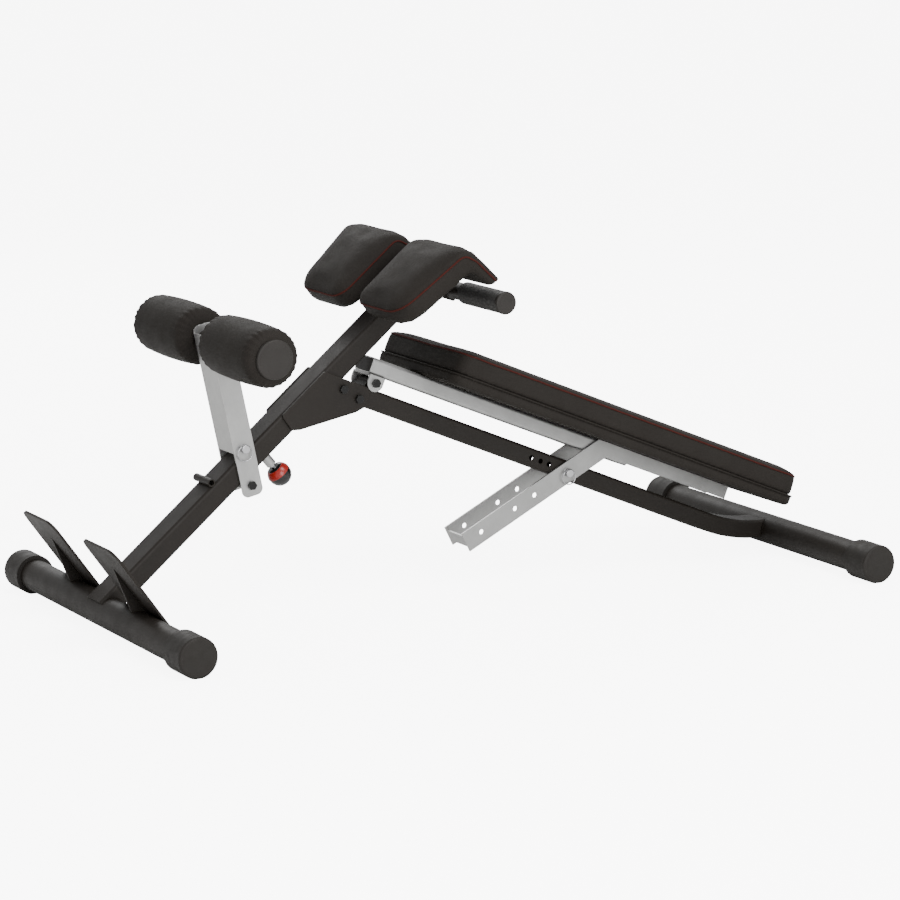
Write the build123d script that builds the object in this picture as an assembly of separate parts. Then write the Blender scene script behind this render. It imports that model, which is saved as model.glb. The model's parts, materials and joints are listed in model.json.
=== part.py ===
from build123d import *
import os
from math import acos, asin, cos, degrees, radians, sin, sqrt, tan

os.makedirs("parts", exist_ok=True)

# A roman chair with a decline back rest, in millimetres and degrees.
# x runs from the rear foot to the front foot, y is the width and z is up.
# While the pieces are made, x = 0 is the axis of the rear foot; at the end the
# whole chair is moved so that the origin is the middle of its footprint.

# Feet
rear_foot_length = 660.0
front_foot_length = 650.0
foot_spacing = 1216.0
foot_radius = 25.0
foot_wall = 2.5
cap_radius = 31.5
cap_length = 55.0
cap_wall = 5.0
cap_flat = 1.0  # depth of the flat under each cap
cap_edge = 4.0

# Foot plates, which lean back across the rear foot
plate_angle = 126.0
plate_width = 120.0
plate_inner_y = 55.0
plate_height = 144.0
plate_below = 8.0
plate_thickness = 4.0
plate_corner = 20.0
rib_thickness = 5.0
rib_height = 100.0

# Post, the sloping main tube
post_slope = 40.1
post_axis_height = 45.8  # height of the post's axis above the floor at x = 0
post_width = 50.0
post_height = 34.0
post_start = -12.0
post_length = 640.0
tube_wall = 2.5
tube_corner = 5.0

# Beam, from the post down to the front foot
beam_slope = 22.54
beam_width = 50.0
beam_height = 31.0
beam_end_height = 35.0
beam_bend_radius = 285.0

# Gussets that hold the beam to the post
gusset_thickness = 4.0
gusset_start = 391.0
gusset_reach = 58.0
gusset_drop = 12.0  # depth of the gusset below the beam
gusset_corner = 5.0
beam_bolt_places = ((11.0, 0.0), (43.0, -6.0))  # along the beam and up from its axis

# M8 fasteners and their fits
bolt_radius = 4.0
bolt_head_radius = 7.2
bolt_head_height = 5.3
bolt_gap = 0.1  # radial clearance of a bolt in a drilled hole
running_gap = 0.06  # radial clearance of a bolt that something turns on
soft_gap = 0.4

# Roller arm and its rollers
arm_pivot_place = 284.0
arm_pivot_drop = 28.0
arm_angle = 102.2
arm_length = 231.5
arm_side_gap = 1.0  # clearance of the arm beside the post
arm_inner_width = post_width + 2 * arm_side_gap
arm_thickness = 2.5
arm_flange = 35.0
arm_end_corner = 10.0
arm_web_start = 56.0
arm_top = 22.0
arm_pin_place = 60.0
pivot_sleeve_radius = 10.0
axle_radius = 12.5
axle_wall = 2.0
core_wall = 2.5
core_gap = 0.25
roller_radius = 49.0
roller_end_radius = 47.0
roller_length = 177.0
roller_side_gap = 1.5
roller_start = arm_inner_width / 2 + arm_thickness + roller_side_gap
roller_round = 20.0
roller_shoulder = (42.5, 5.0)  # radius and distance from the end
disc_radius = 30.0
disc_thickness = 4.5
peg_place = 239.0
peg_radius = 6.0
peg_wall = 1.8
peg_length = post_width + 4.0
lug_thickness = 14.0
lug_radius = 8.0

# Ball-lock pins
pin_radius = 4.0
pin_head_radius = 7.0
pin_head_length = 9.0
pin_stop_gap = 0.5
ring_radius = 12.0
ring_wire = 0.9
ring_gap = 0.6

# Hip pad carriage, which telescopes in the post
slide_gap = 0.35
slide_pitch = 25.0
slide_holes = 7
slide_below_holes = 21.0
slide_end = 722.0
bush_collar = 4.0
bush_depth = 40.0
plunger_place = 336.0
slide_start = plunger_place - (slide_holes - 1) * slide_pitch - slide_below_holes
plunger_radius = 4.0
plunger_hole_gap = 0.4
plunger_bite = 7.0
housing_radius = 8.0
housing_length = 24.0
knob_radius = 18.5
knob_drop = 63.5
knob_bore_depth = 14.0
band_low = 3.0
band_high = 14.0
spring_radius = 5.6
spring_wire = 0.6
spring_turns = 4
spring_length = 15.0

# Hip pads, in the post's own directions: along it, across it and up from it
pad_low_end = 597.0
pad_ridge = 748.0
pad_tip_up = -9.0
pad_tip_along = 757.0
pad_top_up = 73.0
pad_board_up = 39.0
pad_board_low = 31.0
pad_board_front = 733.0
pad_board_front_thickness = 6.5
pad_board_splay = 7.0
pad_inside_post = 1.0  # how far the pads reach inwards past the post's sides
pad_inner_y = post_width / 2 - pad_inside_post
pad_low_outer_y = 170.0
pad_ridge_outer_y = 193.0
pad_corner = 42.0  # plan radius of the low end's outer corner
pad_inner_corner = 28.0
pad_ridge_round = 26.0
bracket_plate_low = 24.0
bracket_plate_from = 652.0
bracket_plate_to = 712.0
bracket_plate_reach = 140.0
cheek_thickness = 4.0
handle_along = 734.0
handle_up = -41.5
handle_radius = 14.0
handle_wall = 2.0
handle_length = 400.0
grip_radius = 17.5
grip_length = 115.0
grip_cap_thickness = 7.0
screw_radius = 3.0
screw_head_radius = 6.0
screw_head_height = 3.5

# Back rest, in its own frame: origin on its hinge, along the pad, up from it
hinge_along_beam = 62.3
hinge_above_beam = 10.4
rest_slope = 22.2
ear_radius = 14.0
ear_thickness = 3.0
ear_gap = 0.5
ear_clearance = 0.8
bracket_web = 3.0
frame_low = 11.3
frame_height = 26.0
frame_width = beam_width
frame_wall = 2.0
frame_rear = 15.0
frame_length = 515.0
plug_depth = 10.0
lug_width = 36.0
lug_top_radius = 7.6
lug_foot = 13.0
brace_side_gap = 1.0  # clearance of the brace beside the beam
brace_inner_width = beam_width + 2 * brace_side_gap
brace_thickness = 3.0
brace_angle = 49.0
brace_height = 34.0
brace_tie_drop = 5.0  # the end plate stops this far below the flanges' top edges
brace_notch = 9.0
brace_end = (254.2, -191.2)
channel_low = 15.8
channel_end = 707.0
lock_radii = (395.0, 358.0, 341.0, 322.0)
lock_hole_radius = 4.3
rest_board_thickness = 18.7
rest_board_from = 73.0
rest_board_length = 697.0
rest_width = 264.0
rest_lip = 3.0
rest_pad_thickness = 37.0
rest_corner = 25.0
rest_screws = (130.0, 400.0)
channel_screws = (540.0, 670.0)

nodes = {}


def sloped(angle, x, z):
    """A frame whose local x climbs at the angle, with local y across the chair."""
    turn = radians(angle)
    return Plane(origin=(x, 0, z), x_dir=(cos(turn), 0, sin(turn)), z_dir=(-sin(turn), 0, cos(turn)))


def world_point(frame, along, up):
    point = frame.from_local_coords((along, 0, up))
    return point.X, point.Z


def block(x0, x1, y0, y1, z0, z1):
    return Pos((x0 + x1) / 2, (y0 + y1) / 2, (z0 + z1) / 2) * Box(x1 - x0, y1 - y0, z1 - z0)


def rod_across(x, z, radius, y0, y1):
    return Pos(x, (y0 + y1) / 2, z) * Rot(90, 0, 0) * Cylinder(radius, y1 - y0)


def rod_up(x, y, radius, z0, z1):
    return Pos(x, y, (z0 + z1) / 2) * Cylinder(radius, z1 - z0)


def side_plate(face, y0, y1):
    """A face drawn in x and z, made solid between two places across the chair."""
    return extrude(Plane(origin=(0, y1, 0), x_dir=(1, 0, 0), z_dir=(0, -1, 0)) * face, y1 - y0)


def box_tube(x0, x1, width, height, z, wall):
    section = RectangleRounded(width, height, tube_corner)
    section -= RectangleRounded(width - 2 * wall, height - 2 * wall, tube_corner - wall)
    return extrude(Plane.YZ.offset(x0) * Pos(0, z) * section, x1 - x0)


def hexagon(x, z, y0, y1):
    return side_plate(Pos(x, z) * RegularPolygon(bolt_head_radius, 6), y0, y1)


def bolt_across(x, z, reach):
    """A hexagon bolt from -y to +y that clamps what lies within the reach, without its nut."""
    head = hexagon(x, z, -reach - bolt_head_height, -reach)
    return head + rod_across(x, z, bolt_radius, -reach, reach + bolt_head_height + 2)


def nut_across(x, z, reach):
    return hexagon(x, z, reach, reach + bolt_head_height) - rod_across(
        x, z, bolt_radius, reach, reach + bolt_head_height
    )


def both_sides(name, piece):
    nodes[name + "_left"] = piece
    nodes[name + "_right"] = mirror(piece, about=Plane.XZ)


foot_axis = cap_radius - cap_flat
post = sloped(post_slope, 0, post_axis_height)
post_half = post_height / 2
beam_half = beam_height / 2


def beam_start():
    """Where the beam's axis meets the underside of the post."""
    slope = radians(beam_slope)
    bend_drop = beam_bend_radius * (1 - cos(slope))
    bend_x = foot_spacing - foot_radius + 5 - beam_bend_radius * sin(slope)
    bend_z = beam_end_height + bend_drop
    under_x, under_z = world_point(post, 0, -post_half)
    climb = tan(radians(post_slope))
    x = (bend_z + bend_x * tan(slope) - under_z + under_x * climb) / (climb + tan(slope))
    z = under_z + (x - under_x) * climb
    return x, z, (bend_x - x) / cos(slope)


beam_x, beam_z, beam_run = beam_start()
beam = sloped(-beam_slope, beam_x, beam_z)
hinge_up = beam_half + hinge_above_beam
hinge_x, hinge_z = world_point(beam, hinge_along_beam, hinge_up)
rest = sloped(-rest_slope, hinge_x, hinge_z)
pivot_x, pivot_z = world_point(post, arm_pivot_place, -arm_pivot_drop)
arm = sloped(arm_angle, pivot_x, pivot_z)


def make_foot(name, x, length):
    tube_half = length / 2 - cap_wall
    outer = rod_across(x, foot_axis, foot_radius, -tube_half, tube_half)
    nodes[name + "_foot_tube"] = outer - rod_across(
        x, foot_axis, foot_radius - foot_wall, -tube_half, tube_half
    )
    cap = rod_across(x, foot_axis, cap_radius, length / 2 - cap_length, length / 2)
    cap = fillet(cap.edges().group_by(Axis.Y)[-1], cap_edge)
    cap -= rod_across(x, foot_axis, foot_radius, length / 2 - cap_length, tube_half)
    cap -= block(x - cap_radius, x + cap_radius, 0, length, -cap_radius, 0)
    both_sides(name + "_cap", cap)


def make_foot_plates():
    lean = sloped(plate_angle, 0, foot_axis)
    outline = Pos((plate_height - plate_below) / 2, plate_inner_y + plate_width / 2) * Rectangle(
        plate_height + plate_below, plate_width
    )
    outline = fillet(outline.vertices().group_by(Axis.X)[-1], plate_corner)
    plate = lean * extrude(Plane.XY.offset(-foot_radius - plate_thickness) * outline, plate_thickness)
    both_sides("foot_plate", plate)
    shape = Polyline(
        (rib_height, -foot_radius), (0, -foot_radius), (0, -10), (foot_radius, -7), close=True
    )
    middle = plate_inner_y + plate_width / 2
    rib = side_plate(make_face(shape), middle - rib_thickness / 2, middle + rib_thickness / 2)
    rib -= rod_across(0, 0, foot_radius, 0, middle + plate_width)
    rib = lean * rib
    nodes["plate_ribs"] = Compound([rib, mirror(rib, about=Plane.XZ)])


def make_post():
    tube = box_tube(post_start, post_length, post_width, post_height, 0, tube_wall)
    tube -= rod_up(plunger_place, 0, plunger_radius + plunger_hole_gap, -post_half - 1, 0)
    foot = rod_across(0, foot_axis, foot_radius, -post_width, post_width)
    under = block(-post_width, post_width, -post_width, post_width, -post_width, foot_axis)
    nodes["main_post"] = (post * tube - foot - under).solids().sort_by(SortBy.VOLUME)[-1]
    peg_up = post_half + peg_radius
    peg = rod_across(peg_place, peg_up, peg_radius, -peg_length / 2, peg_length / 2)
    peg -= rod_across(peg_place, peg_up, peg_radius - peg_wall, -peg_length / 2, peg_length / 2)
    nodes["stop_peg"] = post * peg
    sleeve_half = post_width / 2
    sleeve = rod_across(arm_pivot_place, -arm_pivot_drop, pivot_sleeve_radius, -sleeve_half, sleeve_half)
    sleeve += block(
        arm_pivot_place - pivot_sleeve_radius,
        arm_pivot_place + pivot_sleeve_radius,
        -sleeve_half,
        sleeve_half,
        -arm_pivot_drop,
        -post_half,
    )
    sleeve -= rod_across(
        arm_pivot_place, -arm_pivot_drop, bolt_radius + running_gap, -sleeve_half, sleeve_half
    )
    nodes["pivot_sleeve"] = post * sleeve


def post_solid():
    return block(0, post_length, -post_width, post_width, -post_half, post_half)


bush_wall = 2.0
slide_width = post_width - 2 * tube_wall - 2 * bush_wall - 2 * slide_gap
slide_height = post_height - 2 * tube_wall - 2 * bush_wall - 2 * slide_gap


def make_bush():
    collar = extrude(
        Plane.YZ.offset(post_length) * RectangleRounded(post_width, post_height, tube_corner), bush_collar
    )
    throat = RectangleRounded(post_width - 2 * tube_wall, post_height - 2 * tube_wall, 2.5)
    collar += extrude(Plane.YZ.offset(post_length - bush_depth) * throat, bush_depth)
    bore = RectangleRounded(slide_width + 2 * slide_gap, slide_height + 2 * slide_gap, 2.0)
    collar -= extrude(Plane.YZ.offset(post_length - bush_depth) * bore, bush_depth + bush_collar)
    nodes["post_bush"] = post * collar


def make_beam():
    section = RectangleRounded(beam_width, beam_height, tube_corner)
    section -= RectangleRounded(
        beam_width - 2 * tube_wall, beam_height - 2 * tube_wall, tube_corner - tube_wall
    )
    straight = extrude(Plane.YZ.offset(-20) * section, beam_run + 20)
    bend_axis = Axis((beam_run, 0, beam_bend_radius), (0, -1, 0))
    bend = revolve(Plane.YZ.offset(beam_run) * section, bend_axis, beam_slope)
    for along in beam_lock_places():
        straight -= rod_across(along, 0, lock_hole_radius, -beam_width, beam_width)
    for along, up in beam_bolt_places:
        straight -= rod_across(along, up, bolt_radius + bolt_gap, -beam_width, beam_width)
    bent_x, bent_z = world_point(beam, beam_run, 0)
    end_x = bent_x + beam_bend_radius * sin(radians(beam_slope))
    run_out = extrude(Plane.YZ.offset(end_x) * section, foot_spacing - end_x)
    run_out = Pos(0, 0, beam_end_height) * run_out
    whole = beam * (straight + bend) + run_out
    whole -= post * post_solid()
    whole -= rod_across(foot_spacing, foot_axis, foot_radius, -beam_width, beam_width)
    whole -= block(foot_spacing, foot_spacing + 50, -beam_width, beam_width, 0, 2 * beam_height)
    nodes["main_beam"] = whole.solids().sort_by(SortBy.VOLUME)[-1]


def beam_lock_places():
    """Places along the beam's axis at each lock radius from the hinge."""
    return [hinge_along_beam + sqrt(radius**2 - hinge_up**2) for radius in lock_radii]


def make_gussets():
    top_meets = beam_meets_post_top()
    beam_top = world_point(beam, gusset_reach, beam_half)
    beam_low = world_point(beam, gusset_reach, -beam_half)
    corners = [
        world_point(post, gusset_start, post_half),
        top_meets,
        beam_top,
        beam_low,
        world_point(beam, gusset_reach - gusset_drop, -beam_half - gusset_drop),
        world_point(post, gusset_start + 8, -post_half - 5),
        world_point(post, gusset_start - 2, -post_half + 4),
    ]
    face = make_face(Polyline(*corners, close=True))
    face = fillet(face.vertices(), gusset_corner)
    near = min(post_width, beam_width) / 2
    reach = max(post_width, beam_width) / 2 + gusset_thickness
    plate = side_plate(face, near, reach)
    plate -= post * block(0, post_length, 0, post_width / 2, -post_half, post_half)
    plate -= beam * block(0, beam_run, 0, beam_width / 2, -beam_half, beam_half)
    for along, up in beam_bolt_places:
        x, z = world_point(beam, along, up)
        plate -= rod_across(x, z, bolt_radius + bolt_gap, 0, post_width)
    plate -= rod_across(hinge_x, hinge_z, ear_radius + ear_clearance, 0, post_width)
    both_sides("gusset", plate)
    places = [world_point(beam, along, up) for along, up in beam_bolt_places]
    nodes["gusset_bolts"] = Compound([bolt_across(x, z, reach) for x, z in places])
    nodes["gusset_nuts"] = Compound([nut_across(x, z, reach) for x, z in places])


def beam_meets_post_top():
    """Where the top faces of the post and the beam meet, seen from the side."""
    post_top = world_point(post, 0, post_half)
    beam_top = world_point(beam, 0, beam_half)
    climb = tan(radians(post_slope))
    fall = tan(radians(beam_slope))
    x = (beam_top[1] - post_top[1] + fall * beam_top[0] + climb * post_top[0]) / (climb + fall)
    return x, post_top[1] + climb * (x - post_top[0])


def make_arm():
    outer = arm_inner_width / 2 + arm_thickness
    inner = arm_inner_width / 2
    half = arm_flange / 2
    length = arm_length + arm_top + half
    side = Pos(length / 2 - half, 0) * RectangleRounded(length, arm_flange, arm_end_corner)
    flanges = side_plate(side, inner, outer)
    flanges += mirror(flanges, about=Plane.XZ)
    web_end = arm_length + arm_top - arm_end_corner
    web = block(arm_web_start, web_end, -outer, outer, half - arm_thickness, half)
    channel = flanges + web
    channel -= rod_across(0, 0, bolt_radius + bolt_gap, -outer, outer)
    channel -= rod_across(arm_pin_place, 0, pin_radius + bolt_gap, -outer, outer)
    channel -= rod_across(arm_length, 0, axle_radius, -outer, outer)
    nodes["roller_arm"] = arm * channel
    nodes["arm_pivot_bolt"] = bolt_across(pivot_x, pivot_z, outer)
    nodes["arm_pivot_nut"] = nut_across(pivot_x, pivot_z, outer)
    end = roller_start + roller_length
    axle = rod_across(arm_length, 0, axle_radius, -end, end)
    axle -= rod_across(arm_length, 0, axle_radius - axle_wall, -end, end)
    nodes["roller_axle"] = arm * axle
    make_lock_pin("arm_lock_pin", arm, arm_pin_place, 0, outer, post_width / 2)
    pin_x, pin_z = world_point(arm, arm_pin_place, 0)
    pin_local = post.to_local_coords(Vector(pin_x, 0, pin_z))
    lug = rod_across(pin_local.X, pin_local.Z, lug_radius, -lug_thickness / 2, lug_thickness / 2)
    lug += block(
        pin_local.X - lug_radius,
        pin_local.X + lug_radius,
        -lug_thickness / 2,
        lug_thickness / 2,
        post_half,
        pin_local.Z,
    )
    lug -= rod_across(pin_local.X, pin_local.Z, pin_radius + bolt_gap, -lug_thickness, lug_thickness)
    lug -= post_solid()
    nodes["arm_lock_lug"] = post * lug


def make_rollers():
    start = roller_start
    end = roller_start + roller_length
    core_radius = axle_radius + core_gap + core_wall
    middle = (start + end) / 2
    profile = make_face(
        Polyline((core_radius, start), (disc_radius, start))
        + ThreePointArc(
            (disc_radius, start),
            (roller_shoulder[0], start + roller_shoulder[1]),
            (roller_end_radius, start + roller_round),
        )
        + ThreePointArc(
            (roller_end_radius, start + roller_round),
            (roller_radius, middle),
            (roller_end_radius, end - roller_round),
        )
        + ThreePointArc(
            (roller_end_radius, end - roller_round),
            (roller_shoulder[0], end - roller_shoulder[1]),
            (disc_radius, end),
        )
        + Polyline((disc_radius, end), (core_radius, end), (core_radius, start))
    )
    turned = Plane(origin=(0, 0, 0), x_dir=(1, 0, 0), z_dir=(0, 0, 1)) * profile
    foam = revolve(turned, Axis.Y, 360)
    core = rod_across(0, 0, core_radius, start, end) - rod_across(
        0, 0, axle_radius + core_gap, start, end
    )
    cap = rod_across(0, 0, disc_radius, end + soft_gap, end + soft_gap + disc_thickness)
    cap = fillet(cap.edges().group_by(Axis.Y)[-1], 2.0)
    cap += rod_across(0, 0, axle_radius - axle_wall, end - 15, end + soft_gap)
    place = arm * Pos(arm_length, 0, 0)
    both_sides("foam_roller", place * foam)
    both_sides("roller_core", place * core)
    both_sides("roller_cap", place * cap)


def make_lock_pin(name, frame, along, up, outer, clear_of):
    """A pin in the near flange, with its head and pull ring outside it."""
    pin = rod_across(along, up, pin_radius, -outer - 1, -clear_of - pin_stop_gap)
    head = rod_across(along, up, pin_head_radius, -outer - pin_head_length, -outer)
    pin += fillet(head.edges().group_by(Axis.Y)[0], 1.5)
    eye = -outer - pin_head_length / 2
    x, z = world_point(frame, along, up)
    ring_place = Pos(x, eye, z + pin_head_radius - 2 - ring_radius) * Rot(90, 0, 0)
    nodes[name] = frame * pin - ring_place * Torus(ring_radius, ring_wire + ring_gap)
    nodes[name + "_ring"] = ring_place * Torus(ring_radius, ring_wire)


def make_slide():
    tube = box_tube(slide_start, slide_end, slide_width, slide_height, 0, tube_wall)
    for hole in range(slide_holes):
        place = plunger_place - hole * slide_pitch
        tube -= rod_up(place, 0, plunger_radius + plunger_hole_gap, -post_half, 0)
    nodes["slide_tube"] = post * tube


def make_plunger():
    top = -post_half
    low = top - housing_length
    housing = rod_up(plunger_place, 0, housing_radius, low, top)
    bore_low = low + 4
    housing -= rod_up(plunger_place, 0, spring_radius + spring_wire + 0.5, bore_low, top - 4)
    housing -= rod_up(plunger_place, 0, plunger_radius + running_gap, low, top)
    nodes["plunger_housing"] = post * housing
    nose = top + plunger_bite
    pin = rod_up(plunger_place, 0, plunger_radius, -knob_drop + knob_radius - knob_bore_depth, nose)
    shoulder_up = bore_low + spring_length
    pin += rod_up(plunger_place, 0, spring_radius, shoulder_up - 0.5, shoulder_up + 1)
    pin = fillet(pin.edges().group_by(Axis.Z)[-1], 1.5)
    nodes["plunger_pin"] = post * pin
    knob = Pos(plunger_place, 0, -knob_drop) * Sphere(knob_radius)
    knob -= block(
        plunger_place - knob_radius,
        plunger_place + knob_radius,
        -knob_radius,
        knob_radius,
        -knob_drop + knob_radius - 2,
        0,
    )
    knob -= pin
    band = rod_up(plunger_place, 0, knob_radius + 1, -knob_drop + band_low, -knob_drop + band_high)
    ring = (Pos(plunger_place, 0, -knob_drop) * Sphere(knob_radius + 0.6)) & band
    ring -= Pos(plunger_place, 0, -knob_drop) * Sphere(knob_radius - 1.5)
    knob -= ring
    nodes["plunger_knob"] = post * knob
    nodes["plunger_knob_ring"] = post * ring
    coil = Helix(
        pitch=(shoulder_up - 0.5 - bore_low - 2 * spring_wire - 0.2) / spring_turns,
        height=shoulder_up - 0.5 - bore_low - 2 * spring_wire - 0.2,
        radius=spring_radius - spring_wire,
    )
    wire = sweep(Plane(coil @ 0, z_dir=coil % 0) * Circle(spring_wire), coil)
    nodes["plunger_spring"] = post * Pos(plunger_place, 0, bore_low + spring_wire + 0.1) * wire


def pad_outline(grow):
    """The hip pad's outline seen square to the post, wider towards the ridge."""
    spread = (pad_ridge_outer_y - pad_low_outer_y) / (pad_ridge - pad_low_end)
    far = pad_tip_along + 10
    outer_far = pad_low_outer_y + spread * (far - pad_low_end)
    shape = Polyline(
        (pad_low_end - grow, pad_inner_y - grow),
        (far, pad_inner_y - grow),
        (far, outer_far + grow),
        (pad_low_end - grow, pad_low_outer_y + grow),
        close=True,
    )
    face = make_face(shape)
    low_corners = face.vertices().sort_by(Axis.X)[:2].sort_by(Axis.Y)
    face = fillet(low_corners[-1], pad_corner)
    inner = face.vertices().sort_by_distance(Vector(pad_low_end - grow, pad_inner_y - grow, 0))[0]
    return fillet(inner, pad_inner_corner)


def make_hip_pads():
    splay = pad_board_splay
    front_inner = pad_board_front - pad_board_front_thickness
    wide = pad_ridge_outer_y + 30
    cushion = make_face(
        Polyline(
            (pad_low_end, pad_board_up),
            (pad_low_end, pad_top_up),
            (pad_ridge, pad_top_up),
            (pad_tip_along, pad_tip_up),
            (pad_board_front + splay, pad_tip_up),
            (pad_board_front, pad_board_up),
            close=True,
        )
    )
    corner = cushion.vertices().sort_by_distance(Vector(pad_ridge, pad_top_up, 0))[0]
    cushion = fillet(corner, pad_ridge_round)
    low_corner = cushion.vertices().sort_by_distance(Vector(pad_low_end, pad_top_up, 0))[0]
    cushion = fillet(low_corner, 8.0)
    soft = side_plate(cushion, 0, wide) & extrude(
        Plane.XY.offset(pad_tip_up - 20) * pad_outline(0), pad_top_up - pad_tip_up + 40
    )
    board_face = make_face(
        Polyline(
            (pad_low_end + 2, pad_board_low),
            (pad_low_end + 2, pad_board_up),
            (pad_board_front, pad_board_up),
            (pad_board_front + splay, pad_tip_up),
            (front_inner + splay, pad_tip_up),
            (front_inner, pad_board_low),
            close=True,
        )
    )
    board = side_plate(board_face, 0, wide) & extrude(
        Plane.XY.offset(pad_tip_up - 20) * pad_outline(-3), pad_top_up - pad_tip_up + 40
    )
    for along, across in hip_screw_places():
        board -= rod_up(along, across, screw_radius + bolt_gap, pad_board_low - 1, pad_board_up)
    both_sides("hip_pad", post * soft)
    both_sides("hip_board", post * board)


def hip_screw_places():
    return [(bracket_plate_from + 12, 70.0), (bracket_plate_to - 12, 110.0)]


def make_carriage():
    top = slide_height / 2
    plate = block(
        bracket_plate_from,
        bracket_plate_to,
        -bracket_plate_reach,
        bracket_plate_reach,
        bracket_plate_low,
        pad_board_low,
    )
    plate = fillet(plate.edges().filter_by(Axis.Z), 12.0)
    plate += block(
        bracket_plate_from, bracket_plate_to, -slide_width / 2, slide_width / 2, top, bracket_plate_low
    )
    screws = []
    for along, across in hip_screw_places():
        for y in (across, -across):
            plate -= rod_up(along, y, screw_radius + bolt_gap, bracket_plate_low, pad_board_low)
            screw = rod_up(along, y, screw_radius, bracket_plate_low, pad_board_up - 1)
            head = rod_up(
                along, y, screw_head_radius, bracket_plate_low - screw_head_height, bracket_plate_low
            )
            screws.append(post * (screw + head))
    nodes["hip_pad_bracket"] = post * plate
    nodes["hip_pad_screws"] = Compound(screws)
    cheek_from = slide_end - 50
    shape = make_face(
        Polyline(
            (cheek_from, -top),
            (cheek_from, top),
            (slide_end, top),
            (handle_along + handle_radius + 6, handle_up),
            (handle_along + 8, handle_up - handle_radius - 6),
            (handle_along - 8, handle_up - handle_radius - 6),
            (handle_along - handle_radius - 6, handle_up),
            close=True,
        )
    )
    shape = fillet(shape.vertices(), 3.0)
    near = slide_width / 2
    cheek = side_plate(shape, near, near + cheek_thickness)
    cheek -= rod_across(handle_along, handle_up, handle_radius, 0, 2 * near)
    cheek = post * cheek
    nodes["handle_cheeks"] = Compound([cheek, mirror(cheek, about=Plane.XZ)])
    half = handle_length / 2 - grip_cap_thickness
    tube = rod_across(handle_along, handle_up, handle_radius, -half, half)
    tube -= rod_across(handle_along, handle_up, handle_radius - handle_wall, -half, half)
    nodes["handle_tube"] = post * tube
    grip = rod_across(handle_along, handle_up, grip_radius, half - grip_length, half)
    grip -= rod_across(handle_along, handle_up, handle_radius, half - grip_length, half)
    both_sides("handle_grip", post * grip)
    cap = rod_across(handle_along, handle_up, grip_radius + 0.5, half, handle_length / 2)
    cap = fillet(cap.edges().group_by(Axis.Y)[-1], 3.0)
    cap += rod_across(handle_along, handle_up, handle_radius - handle_wall, half - 12, half)
    cap = post * cap
    nodes["handle_caps"] = Compound([cap, mirror(cap, about=Plane.XZ)])


def make_hinge():
    outer = frame_width / 2 + ear_gap + ear_thickness
    inner = outer - ear_thickness
    ear = Circle(ear_radius) + Pos(0, frame_low / 2) * Rectangle(2 * ear_radius, frame_low)
    bracket = side_plate(ear, -outer, outer)
    bracket -= block(-ear_radius, ear_radius, -outer, outer, frame_low, 2 * ear_radius)
    bracket -= block(-ear_radius, ear_radius, -inner, inner, -ear_radius, frame_low - bracket_web)
    bracket -= rod_across(0, 0, bolt_radius + bolt_gap, -outer, outer)
    nodes["hinge_bracket"] = rest * bracket
    nodes["hinge_bolt"] = bolt_across(hinge_x, hinge_z, outer)
    nodes["hinge_nut"] = nut_across(hinge_x, hinge_z, outer)
    rise = hinge_above_beam
    foot = make_face(
        Polyline(
            (-lug_foot, -rise), (-lug_top_radius, 0), (lug_top_radius, 0), (lug_foot, -rise), close=True
        )
    )
    face = foot + Circle(lug_top_radius)
    lug = side_plate(face, -lug_width / 2, lug_width / 2)
    lug -= block(-50, 50, -50, 50, -50, -rise)
    lug -= rod_across(0, 0, bolt_radius + running_gap, -lug_width, lug_width)
    nodes["hinge_lug"] = beam * Pos(hinge_along_beam, 0, hinge_up) * lug


def brace_point(along, across):
    """A point of the brace, from the middle of its lower end up its length."""
    turn = radians(brace_angle)
    return (
        brace_end[0] + along * cos(turn) - across * sin(turn),
        brace_end[1] + along * sin(turn) + across * cos(turn),
    )


def brace_lock_places():
    """Places along the brace at each lock radius from the hinge."""
    turn = radians(brace_angle)
    nearest = brace_end[0] * cos(turn) + brace_end[1] * sin(turn)
    off_line = brace_end[0] * sin(turn) - brace_end[1] * cos(turn)
    return [sqrt(radius**2 - off_line**2) - nearest for radius in lock_radii]


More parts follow.
